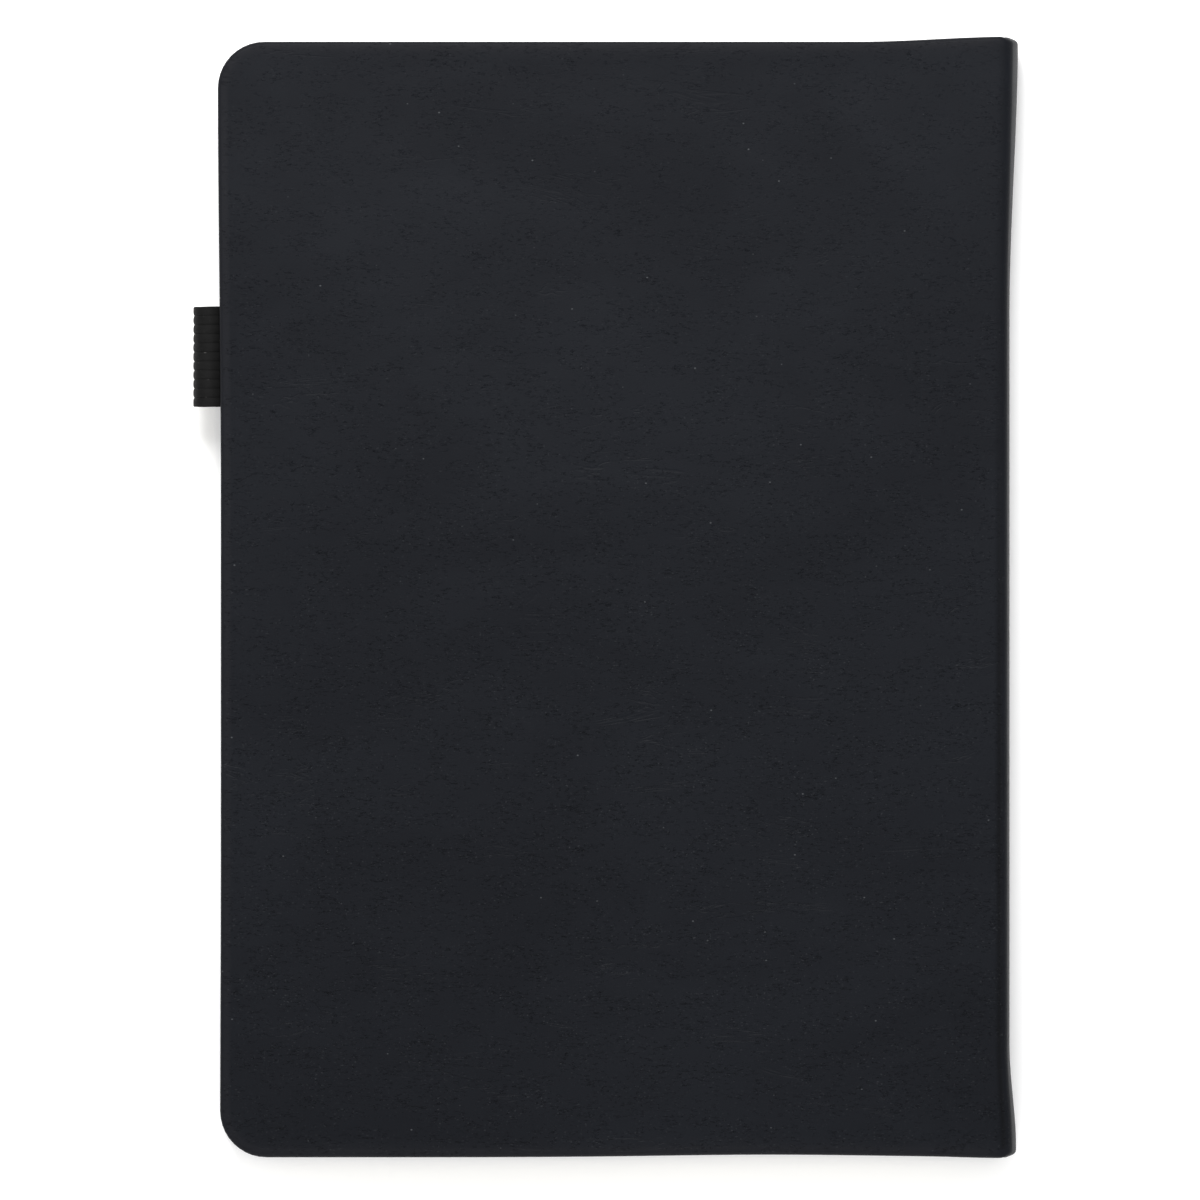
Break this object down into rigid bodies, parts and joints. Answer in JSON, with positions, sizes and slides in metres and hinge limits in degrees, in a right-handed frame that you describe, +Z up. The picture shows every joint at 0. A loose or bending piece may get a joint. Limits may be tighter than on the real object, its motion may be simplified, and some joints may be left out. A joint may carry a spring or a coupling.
{
  "type": "sketchbook",
  "caption": "Hardbound A5 sketchbook in black leather cloth with a ribbed elastic pen loop on the back cover's fore-edge.",
  "frame": {"origin": "centre of the front cover's outer face, which lies on the surface", "axes": "+Z up from the front cover to the back cover, +X from the fore-edge to the spine, +Y from tail to head"},
  "size_m": [0.1584, 0.216, 0.0192],
  "materials": {
    "cover_leather": "matte, fine horizontal grain",
    "grey_board": "rough grey board",
    "endpaper": "smooth ivory paper",
    "page_paper": "matte ivory drawing paper",
    "spine_cloth": "open sized cotton",
    "kraft_liner": "kraft paper",
    "band_cloth": "woven band",
    "thread": "waxed linen thread",
    "elastic_webbing": "ribbed woven elastic"
  },
  "bodies": {
    "text_block": {"section_1_fold": "page_paper", "section_2": "page_paper", "section_3": "page_paper", "section_4": "page_paper", "section_5": "page_paper", "section_6": "page_paper", "section_7": "page_paper", "section_8_fold": "page_paper", "sewing_thread": "thread", "spine_mull": "spine_cloth", "spine_liner": "kraft_liner", "head_band": "band_cloth", "tail_band": "band_cloth", "spine_stiffener": "grey_board", "spine_leather": "cover_leather", "back_joint_leather": "cover_leather", "front_joint_leather": "cover_leather"},
    "front_cover": {"front_board": "grey_board", "front_cover_leather": "cover_leather", "front_pastedown": "endpaper", "front_mull_flange": "spine_cloth"},
    "back_cover": {"back_board": "grey_board", "back_cover_leather": "cover_leather", "back_pastedown": "endpaper", "back_mull_flange": "spine_cloth", "pen_loop": "elastic_webbing"},
    "front_flyleaf_body": {"front_flyleaf": "endpaper"},
    "front_leaf_1_body": {"front_leaf_1": "page_paper"},
    "front_leaf_2_body": {"front_leaf_2": "page_paper"},
    "front_leaf_3_body": {"front_leaf_3": "page_paper"},
    "front_leaf_4_body": {"front_leaf_4": "page_paper"},
    "front_leaf_5_body": {"front_leaf_5": "page_paper"},
    "front_leaf_6_body": {"front_leaf_6": "page_paper"},
    "front_leaf_7_body": {"front_leaf_7": "page_paper"},
    "front_leaf_8_body": {"front_leaf_8": "page_paper"},
    "front_leaf_9_body": {"front_leaf_9": "page_paper"},
    "front_leaf_10_body": {"front_leaf_10": "page_paper"},
    "back_flyleaf_body": {"back_flyleaf": "endpaper"},
    "back_leaf_1_body": {"back_leaf_1": "page_paper"},
    "back_leaf_2_body": {"back_leaf_2": "page_paper"},
    "back_leaf_3_body": {"back_leaf_3": "page_paper"},
    "back_leaf_4_body": {"back_leaf_4": "page_paper"},
    "back_leaf_5_body": {"back_leaf_5": "page_paper"},
    "back_leaf_6_body": {"back_leaf_6": "page_paper"},
    "back_leaf_7_body": {"back_leaf_7": "page_paper"},
    "back_leaf_8_body": {"back_leaf_8": "page_paper"},
    "back_leaf_9_body": {"back_leaf_9": "page_paper"},
    "back_leaf_10_body": {"back_leaf_10": "page_paper"}
  },
  "joints": [
    {"name": "back_cover_hinge", "type": "hinge", "parent": "text_block", "child": "back_cover", "pos_m": [0.075, 0, 0.01617], "axis": [0, 1, 0], "range_deg": [0, 179], "deforming": ["back_joint_leather"]},
    {"name": "front_cover_hinge", "type": "hinge", "parent": "text_block", "child": "front_cover", "pos_m": [0.075, 0, 0.00305], "axis": [0, -1, 0], "range_deg": [0, 179], "deforming": ["front_joint_leather"]},
    {"name": "back_flyleaf_hinge", "type": "hinge", "parent": "text_block", "child": "back_flyleaf_body", "pos_m": [0.0734, 0, 0.01601], "axis": [0, 1, 0], "range_deg": [0, 165]},
    {"name": "back_leaf_1_hinge", "type": "hinge", "parent": "text_block", "child": "back_leaf_1_body", "pos_m": [0.0734, 0, 0.01585], "axis": [0, 1, 0], "range_deg": [0, 150]},
    {"name": "back_leaf_2_hinge", "type": "hinge", "parent": "text_block", "child": "back_leaf_2_body", "pos_m": [0.0734, 0, 0.01569], "axis": [0, 1, 0], "range_deg": [0, 135]},
    {"name": "back_leaf_3_hinge", "type": "hinge", "parent": "text_block", "child": "back_leaf_3_body", "pos_m": [0.0734, 0, 0.01553], "axis": [0, 1, 0], "range_deg": [0, 120]},
    {"name": "back_leaf_4_hinge", "type": "hinge", "parent": "text_block", "child": "back_leaf_4_body", "pos_m": [0.0734, 0, 0.01537], "axis": [0, 1, 0], "range_deg": [0, 105]},
    {"name": "back_leaf_5_hinge", "type": "hinge", "parent": "text_block", "child": "back_leaf_5_body", "pos_m": [0.0734, 0, 0.01521], "axis": [0, 1, 0], "range_deg": [0, 90]},
    {"name": "back_leaf_6_hinge", "type": "hinge", "parent": "text_block", "child": "back_leaf_6_body", "pos_m": [0.0734, 0, 0.01505], "axis": [0, 1, 0], "range_deg": [0, 75]},
    {"name": "back_leaf_7_hinge", "type": "hinge", "parent": "text_block", "child": "back_leaf_7_body", "pos_m": [0.0734, 0, 0.01489], "axis": [0, 1, 0], "range_deg": [0, 60]},
    {"name": "back_leaf_8_hinge", "type": "hinge", "parent": "text_block", "child": "back_leaf_8_body", "pos_m": [0.0734, 0, 0.01473], "axis": [0, 1, 0], "range_deg": [0, 45]},
    {"name": "back_leaf_9_hinge", "type": "hinge", "parent": "text_block", "child": "back_leaf_9_body", "pos_m": [0.0734, 0, 0.01457], "axis": [0, 1, 0], "range_deg": [0, 30]},
    {"name": "back_leaf_10_hinge", "type": "hinge", "parent": "text_block", "child": "back_leaf_10_body", "pos_m": [0.0734, 0, 0.01441], "axis": [0, 1, 0], "range_deg": [0, 15]},
    {"name": "front_flyleaf_hinge", "type": "hinge", "parent": "text_block", "child": "front_flyleaf_body", "pos_m": [0.0734, 0, 0.00321], "axis": [0, -1, 0], "range_deg": [0, 165]},
    {"name": "front_leaf_1_hinge", "type": "hinge", "parent": "text_block", "child": "front_leaf_1_body", "pos_m": [0.0734, 0, 0.00337], "axis": [0, -1, 0], "range_deg": [0, 150]},
    {"name": "front_leaf_2_hinge", "type": "hinge", "parent": "text_block", "child": "front_leaf_2_body", "pos_m": [0.0734, 0, 0.00353], "axis": [0, -1, 0], "range_deg": [0, 135]},
    {"name": "front_leaf_3_hinge", "type": "hinge", "parent": "text_block", "child": "front_leaf_3_body", "pos_m": [0.0734, 0, 0.00369], "axis": [0, -1, 0], "range_deg": [0, 120]},
    {"name": "front_leaf_4_hinge", "type": "hinge", "parent": "text_block", "child": "front_leaf_4_body", "pos_m": [0.0734, 0, 0.00385], "axis": [0, -1, 0], "range_deg": [0, 105]},
    {"name": "front_leaf_5_hinge", "type": "hinge", "parent": "text_block", "child": "front_leaf_5_body", "pos_m": [0.0734, 0, 0.00401], "axis": [0, -1, 0], "range_deg": [0, 90]},
    {"name": "front_leaf_6_hinge", "type": "hinge", "parent": "text_block", "child": "front_leaf_6_body", "pos_m": [0.0734, 0, 0.00417], "axis": [0, -1, 0], "range_deg": [0, 75]},
    {"name": "front_leaf_7_hinge", "type": "hinge", "parent": "text_block", "child": "front_leaf_7_body", "pos_m": [0.0734, 0, 0.00433], "axis": [0, -1, 0], "range_deg": [0, 60]},
    {"name": "front_leaf_8_hinge", "type": "hinge", "parent": "text_block", "child": "front_leaf_8_body", "pos_m": [0.0734, 0, 0.00449], "axis": [0, -1, 0], "range_deg": [0, 45]},
    {"name": "front_leaf_9_hinge", "type": "hinge", "parent": "text_block", "child": "front_leaf_9_body", "pos_m": [0.0734, 0, 0.00465], "axis": [0, -1, 0], "range_deg": [0, 30]},
    {"name": "front_leaf_10_hinge", "type": "hinge", "parent": "text_block", "child": "front_leaf_10_body", "pos_m": [0.0734, 0, 0.00481], "axis": [0, -1, 0], "range_deg": [0, 15]}
  ],
  "couplings": [
    {"joint": "back_flyleaf_hinge", "follows": "back_cover_hinge", "ratio": 0.91667},
    {"joint": "back_leaf_1_hinge", "follows": "back_cover_hinge", "ratio": 0.83333},
    {"joint": "back_leaf_2_hinge", "follows": "back_cover_hinge", "ratio": 0.75},
    {"joint": "back_leaf_3_hinge", "follows": "back_cover_hinge", "ratio": 0.66667},
    {"joint": "back_leaf_4_hinge", "follows": "back_cover_hinge", "ratio": 0.58333},
    {"joint": "back_leaf_5_hinge", "follows": "back_cover_hinge", "ratio": 0.5},
    {"joint": "back_leaf_6_hinge", "follows": "back_cover_hinge", "ratio": 0.41667},
    {"joint": "back_leaf_7_hinge", "follows": "back_cover_hinge", "ratio": 0.33333},
    {"joint": "back_leaf_8_hinge", "follows": "back_cover_hinge", "ratio": 0.25},
    {"joint": "back_leaf_9_hinge", "follows": "back_cover_hinge", "ratio": 0.16667},
    {"joint": "back_leaf_10_hinge", "follows": "back_cover_hinge", "ratio": 0.083333},
    {"joint": "front_flyleaf_hinge", "follows": "front_cover_hinge", "ratio": 0.91667},
    {"joint": "front_leaf_1_hinge", "follows": "front_cover_hinge", "ratio": 0.83333},
    {"joint": "front_leaf_2_hinge", "follows": "front_cover_hinge", "ratio": 0.75},
    {"joint": "front_leaf_3_hinge", "follows": "front_cover_hinge", "ratio": 0.66667},
    {"joint": "front_leaf_4_hinge", "follows": "front_cover_hinge", "ratio": 0.58333},
    {"joint": "front_leaf_5_hinge", "follows": "front_cover_hinge", "ratio": 0.5},
    {"joint": "front_leaf_6_hinge", "follows": "front_cover_hinge", "ratio": 0.41667},
    {"joint": "front_leaf_7_hinge", "follows": "front_cover_hinge", "ratio": 0.33333},
    {"joint": "front_leaf_8_hinge", "follows": "front_cover_hinge", "ratio": 0.25},
    {"joint": "front_leaf_9_hinge", "follows": "front_cover_hinge", "ratio": 0.16667},
    {"joint": "front_leaf_10_hinge", "follows": "front_cover_hinge", "ratio": 0.083333}
  ]
}
